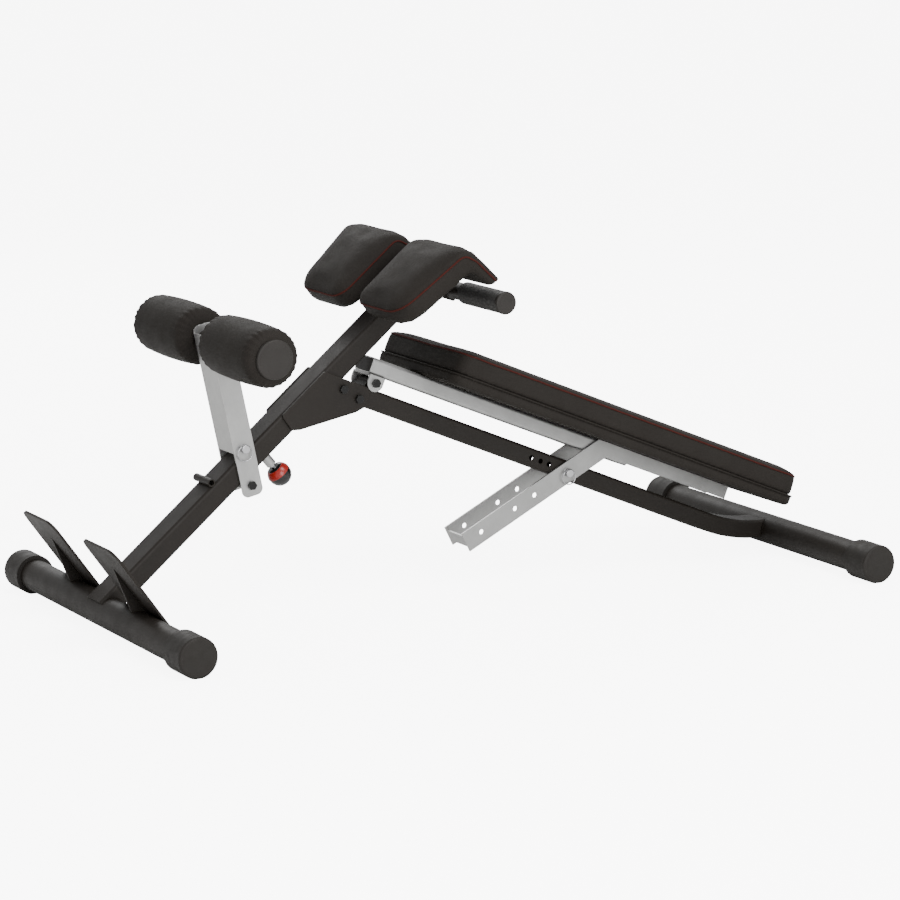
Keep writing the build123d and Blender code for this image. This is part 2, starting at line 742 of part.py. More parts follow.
def make_rest_frame():
    top = frame_low + frame_height
    tube_end = frame_length - frame_rear
    tube_up = top - frame_height / 2
    tube = box_tube(-frame_rear, tube_end, frame_width, frame_height, tube_up, frame_wall)
    plug = RectangleRounded(
        frame_width - 2 * frame_wall, frame_height - 2 * frame_wall, tube_corner - frame_wall
    )
    plug = extrude(Plane.YZ.offset(-frame_rear) * Pos(0, tube_up) * plug, plug_depth)
    nodes["rest_tube_plug"] = rest * plug
    half = brace_height / 2
    turn = radians(brace_angle)
    upper_end = brace_point(0, half)
    lower_end = brace_point(0, -half)
    upper_top = (upper_end[0] + (top - upper_end[1]) / tan(turn), top)
    lower_top = (lower_end[0] + (channel_low - lower_end[1]) / tan(turn), channel_low)
    side = make_face(
        Polyline(
            upper_end,
            upper_top,
            (channel_end, top),
            (channel_end, channel_low),
            lower_top,
            lower_end,
            close=True,
        )
    )
    inner = brace_inner_width / 2
    outer = inner + brace_thickness
    flanges = side_plate(side, inner, outer)
    flanges += mirror(flanges, about=Plane.XZ)
    web = block(tube_end, channel_end, -outer, outer, top - brace_thickness, top)
    tie = make_face(
        Polyline(
            brace_point(0, brace_notch - half),
            brace_point(brace_thickness, brace_notch - half),
            brace_point(brace_thickness, half - brace_tie_drop),
            brace_point(0, half - brace_tie_drop),
            close=True,
        )
    )
    channel = flanges + web + side_plate(tie, -outer, outer)
    for place in brace_lock_places():
        x, z = brace_point(place, 0)
        channel -= rod_across(x, z, lock_hole_radius, -outer, outer)
    board_low = top
    board_top = board_low + rest_board_thickness
    middle = rest_board_from + rest_board_length / 2
    board = extrude(
        Plane.XY.offset(board_low)
        * Pos(middle, 0)
        * RectangleRounded(rest_board_length, rest_width + 2 * rest_lip, rest_corner),
        rest_board_thickness,
    )
    board = fillet(board.edges().group_by(Axis.Z)[0], 4.0)
    screws = []
    seats = [(x, top - frame_wall) for x in rest_screws]
    seats += [(x, top - brace_thickness) for x in channel_screws]
    for x, seat in seats:
        hole = rod_up(x, 0, screw_radius + bolt_gap, seat - 1, board_top - 4)
        tube -= hole
        channel -= hole
        board -= hole
        screw = rod_up(x, 0, screw_radius, seat, board_top - 5)
        screws.append(rest * (screw + rod_up(x, 0, screw_head_radius, seat - screw_head_height, seat)))
    pad = extrude(
        Plane.XY.offset(board_top)
        * Pos(middle, 0)
        * RectangleRounded(rest_board_length - 2 * rest_lip, rest_width, rest_corner - rest_lip),
        rest_pad_thickness,
    )
    pad = fillet(pad.edges().group_by(Axis.Z)[-1], 8.0)
    nodes["rest_tube"] = rest * tube
    nodes["brace_channel"] = rest * channel
    nodes["back_board"] = rest * board
    nodes["back_pad"] = rest * pad
    nodes["back_pad_screws"] = Compound(screws)
    pin_x, pin_z = brace_point(brace_lock_places()[0], 0)
    make_lock_pin("brace_lock_pin", rest, pin_x, pin_z, outer, beam_width / 2)


make_foot("rear", 0, rear_foot_length)
make_foot("front", foot_spacing, front_foot_length)
make_foot_plates()
make_post()
make_bush()
make_beam()
make_gussets()
make_arm()
make_rollers()
make_slide()
make_plunger()
make_hip_pads()
make_carriage()
make_hinge()
make_rest_frame()

boxes = [piece.bounding_box() for piece in nodes.values()]
middle_x = (min(box.min.X for box in boxes) + max(box.max.X for box in boxes)) / 2
for name, piece in nodes.items():
    export_step(Pos(-middle_x, 0, 0) * piece, f"parts/{name}.step")

print("moved by", round(-middle_x, 3))
for title, (x, z) in {
    "arm pivot": (pivot_x, pivot_z),
    "roller axis": world_point(arm, arm_length, 0),
    "back rest hinge": (hinge_x, hinge_z),
    "plunger": world_point(post, plunger_place, -post_half),
    "handle": world_point(post, handle_along, handle_up),
}.items():
    print(title, round(x - middle_x, 3), round(z, 3))
brace_x, brace_z = brace_point(brace_lock_places()[-1], 0)
hole_turn = degrees(asin(hinge_up / lock_radii[-1])) + beam_slope
brace_turn = degrees(acos(brace_x / lock_radii[-1])) + rest_slope
print("highest lock angle", round(brace_turn - hole_turn, 3))
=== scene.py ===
import json
import math

import bmesh
import bpy
from mathutils import Matrix, Vector
from mathutils.bvhtree import BVHTree
from mathutils.kdtree import KDTree
from mathutils.noise import noise


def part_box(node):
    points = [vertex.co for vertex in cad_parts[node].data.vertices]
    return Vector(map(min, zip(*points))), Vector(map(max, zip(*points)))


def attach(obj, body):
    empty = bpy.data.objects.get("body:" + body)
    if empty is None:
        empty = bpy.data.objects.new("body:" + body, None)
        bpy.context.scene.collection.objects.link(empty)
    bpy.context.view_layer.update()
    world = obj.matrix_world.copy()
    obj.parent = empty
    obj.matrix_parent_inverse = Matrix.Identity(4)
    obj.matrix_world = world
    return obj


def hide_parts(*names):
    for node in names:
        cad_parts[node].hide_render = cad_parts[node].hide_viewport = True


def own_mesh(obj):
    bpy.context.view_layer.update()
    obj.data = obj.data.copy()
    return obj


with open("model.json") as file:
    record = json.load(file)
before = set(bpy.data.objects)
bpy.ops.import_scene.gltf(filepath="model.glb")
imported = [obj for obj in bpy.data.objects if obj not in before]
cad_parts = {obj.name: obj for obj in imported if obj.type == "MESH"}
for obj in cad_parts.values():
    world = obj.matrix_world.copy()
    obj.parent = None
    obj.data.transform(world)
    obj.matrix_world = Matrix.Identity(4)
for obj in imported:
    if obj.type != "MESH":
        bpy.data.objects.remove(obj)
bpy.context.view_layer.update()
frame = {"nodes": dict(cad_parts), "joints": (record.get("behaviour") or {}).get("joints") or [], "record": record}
joints = {joint["name"]: joint for joint in frame["joints"]}
scene = bpy.context.scene

millimetre = 0.001


# Materials


def linearColour(code):
    # An sRGB hex colour as the linear values that shaders use
    parts = [int(code[i : i + 2], 16) / 255 for i in (0, 2, 4)]
    return tuple(v / 12.92 if v <= 0.04045 else ((v + 0.055) / 1.055) ** 2.4 for v in parts) + (1,)


def addNode(tree, kind, inputs=None, **settings):
    # A node with its settings; each input is a value, a socket or a node's first output
    node = tree.nodes.new(kind)
    for name, value in settings.items():
        setattr(node, name, value)
    for key, value in (inputs or {}).items():
        if isinstance(value, bpy.types.Node):
            value = value.outputs[0]
        if isinstance(value, bpy.types.NodeSocket):
            tree.links.new(value, node.inputs[key])
        else:
            node.inputs[key].default_value = value
    return node


def startMaterial(name):
    material = bpy.data.materials.new(name)
    material.use_nodes = True
    tree = material.node_tree
    tree.nodes.clear()
    return material, tree, addNode(tree, "ShaderNodeTexCoord").outputs["Object"]


def finishMaterial(material, inputs):
    shader = addNode(material.node_tree, "ShaderNodeBsdfPrincipled", inputs)
    addNode(material.node_tree, "ShaderNodeOutputMaterial", {"Surface": shader})
    return material


def clouds(size, detail=2.0):
    # Noise inputs for features about size millimetres across
    return {"Scale": 1 / (size * millimetre), "Detail": detail}


def between(low, high):
    # Range inputs that take the middle of a noise from low to high
    return {"From Min": 0.3, "From Max": 0.7, "To Min": low, "To Max": high}


def tones(first, second):
    # Mix inputs that run from one hex colour to another
    return {6: linearColour(first), 7: linearColour(second)}


def edgeWearAndHighlightMask(tree, rounded):
    # 0 on flat faces, up to 1 where the rounded normal turns away from the real one; it paints edges lighter,
    # partly as wear and partly as a painted edge highlight
    true = addNode(tree, "ShaderNodeNewGeometry").outputs["Normal"]
    dot = addNode(tree, "ShaderNodeVectorMath", {0: rounded, 1: true}, operation="DOT_PRODUCT")
    return addNode(
        tree,
        "ShaderNodeMapRange",
        {"Value": dot.outputs["Value"], "From Min": 0.8, "From Max": 0.995, "To Min": 1.0, "To Max": 0.0},
    )


powderCoat = {
    "colour": "14100d",
    "lighter": "1b1713",
    "edgeWearAndHighlight": "37322c",
    "specular": 0.2,
    "roughness": (0.5, 0.58),
    "peel": 1.1,
    "peelDepth": 0.03,
    "edgeRound": 1.4,
}


def makePowderCoat():
    # Satin brown-black powder coat: fine orange peel, edges painted a little lighter in rubbed patches, partly
    # wear and partly a painted edge highlight
    s = powderCoat
    material, tree, coords = startMaterial("powder_coat")
    at = {"Vector": coords}
    patch = addNode(tree, "ShaderNodeTexNoise", at | clouds(160, 3))
    peel = addNode(tree, "ShaderNodeTexNoise", at | clouds(s["peel"]))
    scuffs = addNode(tree, "ShaderNodeTexNoise", at | clouds(9, 4))
    haze = addNode(tree, "ShaderNodeTexNoise", at | clouds(25, 3))
    rounded = addNode(tree, "ShaderNodeBevel", {"Radius": s["edgeRound"] * millimetre}, samples=4)
    rubbed = addNode(tree, "ShaderNodeMapRange", {"Value": scuffs} | between(0.0, 0.7))
    rubbedEdgeWearAndHighlight = addNode(
        tree, "ShaderNodeMath", {0: edgeWearAndHighlightMask(tree, rounded), 1: rubbed}, operation="MULTIPLY"
    )
    body = addNode(
        tree, "ShaderNodeMix", {0: patch} | tones(s["colour"], s["lighter"]), data_type="RGBA"
    ).outputs[2]
    # Edges are painted lighter here in rubbed patches: partly wear, partly a painted highlight
    colour = addNode(
        tree, "ShaderNodeMix", {0: rubbedEdgeWearAndHighlight, 6: body, 7: linearColour(s["edgeWearAndHighlight"])}, data_type="RGBA"
    ).outputs[2]
    return finishMaterial(
        material,
        {
            "Base Color": colour,
            "Roughness": addNode(
                tree, "ShaderNodeMapRange", {"Value": haze} | between(*s["roughness"])
            ),
            "Specular IOR Level": s["specular"],
            "Normal": addNode(
                tree,
                "ShaderNodeBump",
                {"Height": peel, "Distance": s["peelDepth"] * millimetre, "Normal": rounded},
            ),
        },
    )


zincPlate = {
    "colour": "8a8a89",
    "lighter": "a2a2a1",
    "edgeWearAndHighlight": "c4c4c2",
    "metallic": 0.85,
    "roughness": (0.34, 0.5),
    "spangle": 14,
    "grain": 0.5,
    "grainDepth": 0.012,
    "edgeRound": 0.9,
}


def makeZincPlate():
    # Bright zinc plated sheet steel: faint spangle, drawn grain, edges painted lighter, partly rubbed wear and
    # partly a painted edge highlight
    s = zincPlate
    material, tree, coords = startMaterial("zinc_plate")
    rounded = addNode(tree, "ShaderNodeBevel", {"Radius": s["edgeRound"] * millimetre}, samples=4)
    spangle = addNode(
        tree, "ShaderNodeTexVoronoi", {"Vector": coords, "Scale": 1 / (s["spangle"] * millimetre)}
    ).outputs["Color"]
    shade = addNode(
        tree,
        "ShaderNodeMapRange",
        {"Value": spangle, "From Min": 0.0, "From Max": 1.0, "To Min": 0.75, "To Max": 1.0},
    )
    cloud = addNode(tree, "ShaderNodeTexNoise", {"Vector": coords} | clouds(40, 4))
    tone = addNode(tree, "ShaderNodeMath", {0: cloud, 1: shade}, operation="MULTIPLY")
    drawn = addNode(tree, "ShaderNodeMapping", {"Vector": coords, "Scale": (0.06, 1, 1)})
    grain = addNode(tree, "ShaderNodeTexNoise", {"Vector": drawn} | clouds(s["grain"]))
    body = addNode(
        tree, "ShaderNodeMix", {0: tone} | tones(s["lighter"], s["colour"]), data_type="RGBA"
    ).outputs[2]
    # Every edge is painted lighter: partly wear, partly a painted highlight
    colour = addNode(
        tree,
        "ShaderNodeMix",
        {0: edgeWearAndHighlightMask(tree, rounded), 6: body, 7: linearColour(s["edgeWearAndHighlight"])},
        data_type="RGBA",
    ).outputs[2]
    return finishMaterial(
        material,
        {
            "Base Color": colour,
            "Metallic": s["metallic"],
            "Roughness": addNode(
                tree, "ShaderNodeMapRange", {"Value": grain} | between(*s["roughness"])
            ),
            "Normal": addNode(
                tree,
                "ShaderNodeBump",
                {"Height": grain, "Distance": s["grainDepth"] * millimetre, "Normal": rounded},
            ),
        },
    )


def makeSmallSteel(name, code, metallic, roughness, edgeWearAndHighlightCode):
    # Small machined or blackened steel: fine scratches, and edges painted lighter, partly wear and partly a
    # painted edge highlight
    material, tree, coords = startMaterial(name)
    rounded = addNode(tree, "ShaderNodeBevel", {"Radius": 0.5 * millimetre}, samples=4)
    turned = addNode(tree, "ShaderNodeMapping", {"Vector": coords, "Scale": (1, 0.08, 1)})
    scratch = addNode(tree, "ShaderNodeTexNoise", {"Vector": turned} | clouds(0.35, 3))
    # The edge colour paints edges lighter: partly wear, partly a painted highlight
    return finishMaterial(
        material,
        {
            "Base Color": addNode(
                tree,
                "ShaderNodeMix",
                {0: edgeWearAndHighlightMask(tree, rounded)} | tones(code, edgeWearAndHighlightCode),
                data_type="RGBA",
            ).outputs[2],
            "Metallic": metallic,
            "Roughness": addNode(
                tree, "ShaderNodeMapRange", {"Value": scratch} | between(*roughness)
            ),
            "Normal": addNode(
                tree,
                "ShaderNodeBump",
                {"Height": scratch, "Distance": 0.01 * millimetre, "Normal": rounded},
            ),
        },
    )


def makeMoulded(name, code, lighterCode, roughness, grain, depth, specular=0.2):
    # Moulded plastic or vinyl film with a spark-eroded grain
    material, tree, coords = startMaterial(name)
    at = {"Vector": coords}
    rounded = addNode(tree, "ShaderNodeBevel", {"Radius": 0.8 * millimetre}, samples=4)
    patch = addNode(tree, "ShaderNodeTexNoise", at | clouds(35, 3))
    haze = addNode(tree, "ShaderNodeTexNoise", at | clouds(12, 3))
    sparked = addNode(tree, "ShaderNodeTexNoise", at | clouds(grain))
    return finishMaterial(
        material,
        {
            "Base Color": addNode(
                tree, "ShaderNodeMix", {0: patch} | tones(code, lighterCode), data_type="RGBA"
            ).outputs[2],
            "Roughness": addNode(
                tree, "ShaderNodeMapRange", {"Value": haze} | between(*roughness)
            ),
            "Specular IOR Level": specular,
            "Normal": addNode(
                tree,
                "ShaderNodeBump",
                {"Height": sparked, "Distance": depth * millimetre, "Normal": rounded},
            ),
        },
    )


upholstery = {
    "colour": "201d1b",
    "lighter": "262320",
    "grainHollowShade": "12110f",
    "specular": 0.07,
    "roughness": (0.6, 0.7),
    "pebble": 1.3,
    "pebbleDepth": 0.12,
    "wrinkle": 16,
    "wrinkleDepth": 0.2,
}


def makeVinyl():
    # Charcoal upholstery vinyl: pebbled grain of about 1.3 mm with painted shade in its hollows, slow creases,
    # dull surface
    s = upholstery
    material, tree, coords = startMaterial("upholstery_vinyl")
    at = {"Vector": coords}
    wander = addNode(
        tree, "ShaderNodeTexNoise", {"Vector": coords, "Scale": 1 / (2.5 * millimetre)}
    ).outputs["Color"]
    warp = addNode(
        tree,
        "ShaderNodeVectorMath",
        {0: wander, 1: (0.0012, 0.0012, 0.0012), 2: coords},
        operation="MULTIPLY_ADD",
    )
    cells = addNode(
        tree,
        "ShaderNodeTexVoronoi",
        {"Vector": warp, "Scale": 1 / (s["pebble"] * millimetre)},
        feature="DISTANCE_TO_EDGE",
    )
    pebble = addNode(
        tree,
        "ShaderNodeMapRange",
        {"Value": cells, "From Min": 0.0, "From Max": 0.22, "To Min": 0.0, "To Max": 1.0},
    )
    # The grain's hollows are painted darker as shade
    grainHollowShadeMask = addNode(
        tree,
        "ShaderNodeMapRange",
        {"Value": pebble, "From Min": 0.0, "From Max": 0.6, "To Min": 0.55, "To Max": 0.0},
    )
    patch = addNode(tree, "ShaderNodeTexNoise", at | clouds(70, 3))
    haze = addNode(tree, "ShaderNodeTexNoise", at | clouds(30, 4))
    slow = addNode(tree, "ShaderNodeTexNoise", at | clouds(s["wrinkle"], 3))
    body = addNode(
        tree, "ShaderNodeMix", {0: patch} | tones(s["colour"], s["lighter"]), data_type="RGBA"
    ).outputs[2]
    creased = addNode(
        tree, "ShaderNodeBump", {"Height": slow, "Distance": s["wrinkleDepth"] * millimetre}
    )
    return finishMaterial(
        material,
        {
            "Base Color": addNode(
                tree,
                "ShaderNodeMix",
                {0: grainHollowShadeMask, 6: body, 7: linearColour(s["grainHollowShade"])},
                data_type="RGBA",
            ).outputs[2],
            "Roughness": addNode(
                tree, "ShaderNodeMapRange", {"Value": haze} | between(*s["roughness"])
            ),
            "Specular IOR Level": s["specular"],
            "Normal": addNode(
                tree,
                "ShaderNodeBump",
                {"Height": pebble, "Distance": s["pebbleDepth"] * millimetre, "Normal": creased},
            ),
        },
    )


def makeThread(name, code, lighterCode):
    # Woven cord or thread: a dull, fibrous surface
    material, tree, coords = startMaterial(name)
    fibre = addNode(tree, "ShaderNodeTexNoise", {"Vector": coords} | clouds(0.8, 3))
    return finishMaterial(
        material,
        {
            "Base Color": addNode(
                tree, "ShaderNodeMix", {0: fibre} | tones(code, lighterCode), data_type="RGBA"
            ).outputs[2],
            "Roughness": 0.8,
            "Specular IOR Level": 0.1,
            "Normal": addNode(
                tree, "ShaderNodeBump", {"Height": fibre, "Distance": 0.15 * millimetre}
            ),
        },
    )


gripRubber = {
    "grooveShade": "151413",
    "ring": "24211f",
    "ringPitch": 4,
    "ringDepth": 0.35,
    "roughness": (0.6, 0.8),
}


def makeGrip():
    # Black rubber grip with moulded rings every 4 mm along y; the grooves between them are painted darker as shade
    s = gripRubber
    material, tree, coords = startMaterial("grip_rubber")
    at = {"Vector": coords}
    along = addNode(tree, "ShaderNodeSeparateXYZ", at).outputs["Y"]
    turns = 2 * math.pi / (s["ringPitch"] * millimetre)
    phase = addNode(tree, "ShaderNodeMath", {0: along, 1: turns}, operation="MULTIPLY")
    wave = addNode(tree, "ShaderNodeMath", {0: phase}, operation="SINE")
    # ring runs from 0 in the grooves, painted darker as shade, to 1 on the ring tops
    ring = addNode(
        tree,
        "ShaderNodeMapRange",
        {"Value": wave, "From Min": -1, "From Max": 1, "To Min": 0, "To Max": 1},
    )
    haze = addNode(tree, "ShaderNodeTexNoise", at | clouds(8, 3))
    grain = addNode(tree, "ShaderNodeTexNoise", at | clouds(0.5))
    grained = addNode(tree, "ShaderNodeBump", {"Height": grain, "Distance": 0.05 * millimetre})
    return finishMaterial(
        material,
        {
            "Base Color": addNode(
                tree, "ShaderNodeMix", {0: ring} | tones(s["grooveShade"], s["ring"]), data_type="RGBA"
            ).outputs[2],
            "Roughness": addNode(
                tree, "ShaderNodeMapRange", {"Value": haze} | between(*s["roughness"])
            ),
            "Normal": addNode(
                tree,
                "ShaderNodeBump",
                {"Height": wave, "Distance": s["ringDepth"] * millimetre, "Normal": grained},
            ),
        },
    )


materials = {
    "frame_paint": makePowderCoat(),
    "zinc_steel": makeZincPlate(),
    "foot_cap_plastic": makeMoulded(
        "foot_cap_polymer", "171513", "201d1a", (0.52, 0.68), 0.9, 0.08
    ),
    "trim_plastic": makeMoulded("trim_polymer", "1c1a18", "262321", (0.42, 0.58), 0.6, 0.05),
    "grip_rubber": makeGrip(),
    "black_bolt": makeSmallSteel("black_oxide_steel", "121212", 0.6, (0.32, 0.48), "4c4a48"),
    "pin_steel": makeSmallSteel("nickel_plate", "a8a8aa", 1.0, (0.16, 0.3), "d8d8d8"),
    "knob_black": makeMoulded("knob_phenolic_black", "0b0b0b", "131313", (0.16, 0.24), 4, 0.01, 0.4),
    "knob_red": makeMoulded("knob_enamel_red", "7a1712", "8a1f18", (0.22, 0.32), 3, 0.01, 0.35),
    "charcoal_vinyl": makeVinyl(),
    "board_cover": makeMoulded("board_cover_vinyl", "1c1a19", "282523", (0.5, 0.66), 1.1, 0.08),
}
pipingMaterial = makeThread("piping_red_brown", "2c100d", "3c1813")
stitchMaterial = makeThread("thread_charcoal", "2d2a28", "4a4542")

for entry in frame["record"]["subparts"]:
    node = frame["nodes"][entry["node"]]
    node.data.materials.clear()
    node.data.materials.append(materials[entry["material_slot"]])
print("materials", len(bpy.data.materials))


# Small helpers


restSlope = 22.2
slideAxis = Vector(joints["hip_slide"]["axis"])
slideUp = Vector((-slideAxis.z, 0, slideAxis.x))
hinge = Vector(joints["rest_tilt"]["pos_m"])
restAlong = Vector((math.cos(math.radians(restSlope)), 0, -math.sin(math.radians(restSlope))))
restUp = Vector((-restAlong.z, 0, restAlong.x))


def localFrame(origin, along, up):
    # Local x runs along, local y across and local z up, square to both
    turn = Matrix((along, Vector((0, 1, 0)), up)).transposed().to_4x4()
    return Matrix.Translation(origin) @ turn


postFrame = localFrame(Vector((0, 0, 0)), slideAxis, slideUp)
restFrame = localFrame(hinge, restAlong, restUp)


def localPoints(node, place):
    back = place.inverted()
    return [back @ v.co for v in frame["nodes"][node].data.vertices]


def localBox(node, place):
    points = localPoints(node, place)
    low = Vector([min(p[i] for p in points) for i in range(3)])
    high = Vector([max(p[i] for p in points) for i in range(3)])
    return low, high


def newPiece(name, mesh, material):
    piece = bpy.data.objects.new(name, mesh)
    scene.collection.objects.link(piece)
    mesh.materials.clear()
    mesh.materials.append(material)
    for face in mesh.polygons:
        face.use_smooth = True
    return piece


def applyModifiers(piece):
    bpy.context.view_layer.update()
    mesh = bpy.data.meshes.new_from_object(
        piece.evaluated_get(bpy.context.evaluated_depsgraph_get())
    )
    piece.modifiers.clear()
    piece.data = mesh
    return piece


def surfaceOf(mesh):
    return BVHTree.FromPolygons(
        [v.co.copy() for v in mesh.vertices], [tuple(f.vertices) for f in mesh.polygons]
    )


# Geometry nodes


def newTree(name, inputs):
    tree = bpy.data.node_groups.new(name, "GeometryNodeTree")
    tree.interface.new_socket("Geometry", in_out="INPUT", socket_type="NodeSocketGeometry")
    sockets = {}
    for label, kind, value in inputs:
        socket = tree.interface.new_socket(label, in_out="INPUT", socket_type=kind)
        if value is not None:
            socket.default_value = value
        sockets[label] = socket.identifier
    tree.interface.new_socket("Geometry", in_out="OUTPUT", socket_type="NodeSocketGeometry")
    start = tree.nodes.new("NodeGroupInput")
    end = tree.nodes.new("NodeGroupOutput")
    return tree, start, end, sockets


def makeCordTree():
    # A round cord swept along a curve, such as piping
    tree, start, end, sockets = newTree(
        "CordAlongPath",
        [
            ("Radius", "NodeSocketFloat", 0.0015),
            ("Spacing", "NodeSocketFloat", 0.004),
            ("Sides", "NodeSocketInt", 10),
            ("Material", "NodeSocketMaterial", None),
        ],
    )
    even = addNode(
        tree,
        "GeometryNodeResampleCurve",
        {"Curve": start.outputs["Geometry"], "Length": start.outputs["Spacing"]},
        mode="LENGTH",
    )
    section = addNode(
        tree,
        "GeometryNodeCurvePrimitiveCircle",
        {"Radius": start.outputs["Radius"], "Resolution": start.outputs["Sides"]},
    )
    swept = addNode(
        tree,
        "GeometryNodeCurveToMesh",
        {"Curve": even.outputs[0], "Profile Curve": section.outputs[0], "Fill Caps": True},
    )
    real = addNode(tree, "GeometryNodeRealizeInstances", {0: swept.outputs[0]})
    painted = addNode(
        tree,
        "GeometryNodeSetMaterial",
        {"Geometry": real.outputs[0], "Material": start.outputs["Material"]},
    )
    tree.links.new(painted.outputs[0], end.inputs[0])
    return tree, sockets


def makeStitchTree():
    # Short thread loops set one after another along a curve
    tree, start, end, sockets = newTree(
        "StitchesAlongPath",
        [
            ("Pitch", "NodeSocketFloat", 0.0045),
            ("Length", "NodeSocketFloat", 0.003),
            ("Radius", "NodeSocketFloat", 0.0004),
            ("Seed", "NodeSocketInt", 4),
            ("Material", "NodeSocketMaterial", None),
        ],
    )
    points = addNode(
        tree,
        "GeometryNodeCurveToPoints",
        {"Curve": start.outputs["Geometry"], "Length": start.outputs["Pitch"]},
        mode="LENGTH",
    )
    thread = addNode(
        tree,
        "GeometryNodeMeshCylinder",
        {"Vertices": 6, "Radius": start.outputs["Radius"], "Depth": start.outputs["Length"]},
    )
    wobble = addNode(
        tree,
        "FunctionNodeRandomValue",
        {"Min": (-0.05, -0.05, -0.05), "Max": (0.05, 0.05, 0.05), "Seed": start.outputs["Seed"]},
        data_type="FLOAT_VECTOR",
    )
    placed = addNode(
        tree,
        "GeometryNodeInstanceOnPoints",
        {
            "Points": points.outputs["Points"],
            "Instance": thread.outputs["Mesh"],
            "Rotation": points.outputs["Rotation"],
        },
    )
    spun = addNode(
        tree,
        "GeometryNodeRotateInstances",
        {"Instances": placed.outputs[0], "Rotation": wobble.outputs[0]},
    )
    real = addNode(tree, "GeometryNodeRealizeInstances", {0: spun.outputs[0]})
    painted = addNode(
        tree,
        "GeometryNodeSetMaterial",
        {"Geometry": real.outputs[0], "Material": start.outputs["Material"]},
    )
    tree.links.new(painted.outputs[0], end.inputs[0])
    return tree, sockets


cordTree, cordSockets = makeCordTree()
stitchTree, stitchSockets = makeStitchTree()


def alongPath(name, points, closed, tree, sockets, values, material):
    # Runs a tree on a curve through the points and keeps the plain mesh
    curve = bpy.data.curves.new(name + "_path", "CURVE")
    curve.dimensions = "3D"
    line = curve.splines.new("POLY")
    line.points.add(len(points) - 1)
    for target, point in zip(line.points, points):
        target.co = (*point, 1)
    line.use_cyclic_u = closed
    carrier = bpy.data.objects.new(name + "_carrier", curve)
    scene.collection.objects.link(carrier)
    modifier = carrier.modifiers.new("Along path", "NODES")
    modifier.node_group = tree
    for label, value in values.items():
        modifier[sockets[label]] = value
    modifier[sockets["Material"]] = material
    bpy.context.view_layer.update()
    mesh = bpy.data.meshes.new_from_object(
        carrier.evaluated_get(bpy.context.evaluated_depsgraph_get())
    )
    carrier.modifiers.remove(modifier)
    bpy.data.objects.remove(carrier)
    return newPiece(name, mesh, material)


# Cushions


def bareMesh(nodes, name):
    # The nodes' closed shapes in one mesh, with their doubled points joined
    shape = bmesh.new()
    for node in nodes:
        shape.from_mesh(frame["nodes"][node].data)
    bmesh.ops.remove_doubles(shape, verts=shape.verts, dist=1e-5)
    bmesh.ops.recalc_face_normals(shape, faces=shape.faces)
    mesh = bpy.data.meshes.new(name)
    shape.to_mesh(mesh)
    shape.free()
    return mesh


def roundShoulder(mesh, seam, ups, rise, reach):
    # Turns the square edge above a seam into a quarter ellipse: rise high and reach wide
    tree = KDTree(len(seam))
    for index, point in enumerate(seam):
        tree.insert(point, index)
    tree.balance()
    middle = sum(seam, Vector()) / len(seam)
    inward = []
    last = len(seam) - 1
    for index, point in enumerate(seam):
        tangent = (seam[min(index + 1, last)] - seam[max(index - 1, 0)]).normalized()
        side = ups[index].cross(tangent).normalized()
        inward.append(side if side.dot(middle - point) > 0 else -side)
    for vertex in mesh.vertices:
        point, index, distance = tree.find(vertex.co)
        offset = vertex.co - point
        a = offset.dot(inward[index]) / reach
        b = offset.dot(ups[index]) / rise
        if b <= 0 or a >= 1 or b > 1.6:
            continue
        angle = math.radians(45 * min(b, 1.0) + 45 * max(a, 0.0))
        across = inward[index] * (reach * (1 - math.cos(angle)) - offset.dot(inward[index]))
        up = ups[index] * (rise * math.sin(angle) - offset.dot(ups[index]))
        vertex.co += across + up
    mesh.update()


stuffing = {
    "frames": 20,
    "quality": 4,
    "mass": 0.3,
    "stretch": 12,
    "shear": 5,
    "bending": 0.8,
}


def evenOut(mesh, moves, rounds):
    # Shares each point's movement with its neighbours, which irons out small wrinkles
    for _ in range(rounds):
        sums = [move.copy() for move in moves]
        counts = [1] * len(moves)
        for edgeWearAndHighlight in mesh.edges:
            a, b = edgeWearAndHighlight.vertices
            sums[a] += moves[b]
            sums[b] += moves[a]
            counts[a] += 1
            counts[b] += 1
        moves = [total / count for total, count in zip(sums, counts)]
    return moves


